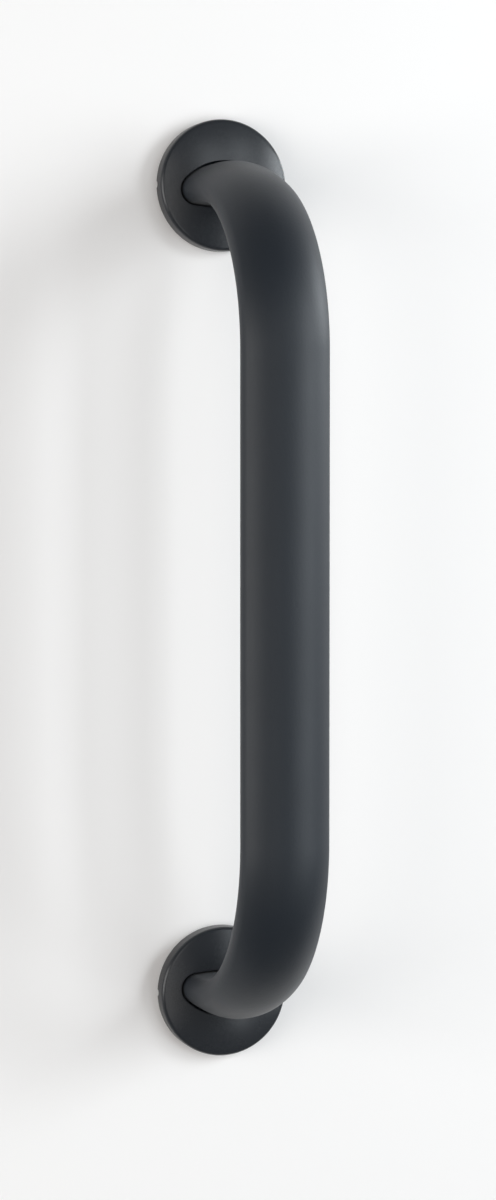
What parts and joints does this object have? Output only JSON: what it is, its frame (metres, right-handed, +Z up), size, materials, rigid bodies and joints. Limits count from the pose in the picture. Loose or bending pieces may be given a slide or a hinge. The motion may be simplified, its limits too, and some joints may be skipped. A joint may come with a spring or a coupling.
{
  "type": "grab bar",
  "caption": "Wall grab bar: a flat-backed oval tube bent to a bow, welded into round mounting plates under domed clip-on covers; a steady handhold in a shower or at a bath.",
  "frame": {"origin": "on the wall plane, midway between the two plate centres", "axes": "+Z up along the bar, +Y into the wall, +X to the right along the wall as seen from the room"},
  "size_m": [0.0596, 0.1513, 0.4276],
  "materials": {
    "powder_coat": "matte",
    "cover_plastic": "satin",
    "plated_screw": "satin"
  },
  "bodies": {
    "root": {"bar_tube": "powder_coat", "upper_mounting_plate": "powder_coat", "lower_mounting_plate": "powder_coat", "upper_weld_bead": "powder_coat", "lower_weld_bead": "powder_coat", "upper_cover": "cover_plastic", "lower_cover": "cover_plastic", "upper_screws": "plated_screw", "lower_screws": "plated_screw"}
  },
  "joints": []
}
